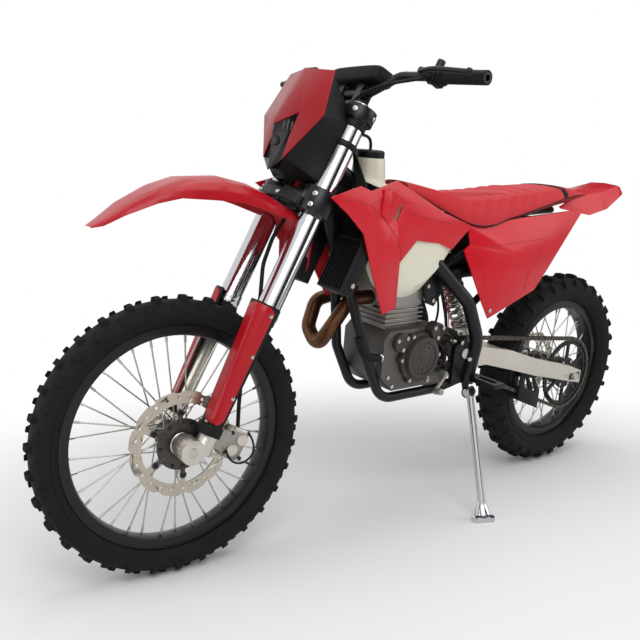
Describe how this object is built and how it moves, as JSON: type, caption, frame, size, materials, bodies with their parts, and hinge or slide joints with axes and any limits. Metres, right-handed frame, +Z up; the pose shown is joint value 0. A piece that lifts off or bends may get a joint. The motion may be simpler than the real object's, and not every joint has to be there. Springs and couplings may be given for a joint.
{
  "type": "trail motorcycle",
  "caption": "Off-road trail motorcycle leaning on its side stand, with spoked wheels, a long-travel fork, chain drive, an open single-cylinder engine and a high front fender.",
  "frame": {"origin": "on the floor under the middle of the machine's box, as it leans on its side stand", "axes": "+X towards the front wheel along the rear wheel's track, +Y towards the machine's left, +Z up"},
  "size_m": [2.1636, 0.81, 1.2797],
  "materials": {
    "tyre": "moulded, matt",
    "black_rim": "anodised black",
    "bare_steel": "brushed",
    "bare_alloy": "satin",
    "fork_silver": "bright",
    "black_metal": "satin black",
    "red_plastic": "glossy",
    "red_cover": "pleated cover",
    "black_fabric": "woven",
    "cream_plastic": "translucent cream",
    "black_plastic": "moulded",
    "rubber": "matt",
    "cast_alloy": "cast",
    "grey_cover": "bronze grey",
    "heat_steel": "heat stained",
    "smoked_glass": "smoked",
    "red_lens": "clear red",
    "chain_steel": "oiled"
  },
  "bodies": {
    "front_wheel": {"front_tyre": "tyre", "front_rim": "black_rim", "front_hub": "bare_alloy", "front_disc": "bare_steel"},
    "rear_wheel": {"rear_tyre": "tyre", "rear_rim": "black_rim", "rear_hub": "bare_alloy", "rear_disc": "bare_steel", "rear_sprocket": "black_metal"},
    "steering": {"fork_outer_tubes": "fork_silver", "fork_lower_legs": "bare_alloy", "front_axle": "bare_steel", "fork_guards": "red_plastic", "front_fender": "red_plastic", "lower_clamp": "black_metal", "upper_clamp": "black_metal", "handlebar": "black_metal", "grips": "rubber", "bar_pad": "black_fabric", "lever_perches": "black_metal", "mirror_bosses": "black_metal", "hand_levers": "bare_alloy", "headlight_mask": "red_plastic", "headlamp": "smoked_glass", "lamp_shell": "black_plastic", "front_caliper": "bare_alloy", "front_brake_hose": "rubber"},
    "chassis": {"main_frame": "black_metal", "swingarm": "bare_alloy", "swingarm_pivot_bolt": "bare_steel", "rear_axle": "bare_steel", "rear_shock": "bare_steel", "crankcase": "cast_alloy", "front_sprocket": "black_metal", "right_engine_cover": "grey_cover", "left_engine_covers": "grey_cover", "cylinder": "cast_alloy", "cylinder_head": "cast_alloy", "throttle_body": "black_plastic", "header_pipe": "heat_steel", "silencer": "bare_alloy", "drive_chain": "chain_steel", "fuel_tank": "cream_plastic", "tank_cap": "black_plastic", "seat": "red_cover", "shrouds": "red_plastic", "side_panels": "red_plastic", "radiators": "bare_alloy", "radiator_guards": "black_plastic", "rear_fender": "red_plastic", "subframe": "black_metal", "airbox": "black_plastic", "footpegs": "bare_steel", "foot_levers": "bare_alloy", "rear_caliper": "bare_alloy", "chain_guide": "black_plastic", "tail_light": "red_lens"},
    "side_stand": {"side_stand": "fork_silver"}
  },
  "joints": [
    {"name": "steering", "type": "hinge", "parent": "chassis", "child": "steering", "pos_m": [0.40395, -0.04655, 0.87752], "axis": [-0.4461, 0.1129, 0.8878], "range_deg": [-33.8, 46.2]},
    {"name": "front_wheel_spin", "type": "hinge", "parent": "steering", "child": "front_wheel", "pos_m": [0.7335, -0.12005, 0.34849], "axis": [0.0966, 0.9923, -0.0777], "continuous": true},
    {"name": "rear_wheel_spin", "type": "hinge", "parent": "chassis", "child": "rear_wheel", "pos_m": [-0.74621, -0.11557, 0.33507], "axis": [0, 0.992, -0.1262], "continuous": true},
    {"name": "side_stand_fold", "type": "hinge", "parent": "chassis", "child": "side_stand", "pos_m": [-0.1942, 0.01308, 0.3479], "axis": [0.2486, 0.8888, 0.3851], "range_deg": [0, 108]}
  ]
}
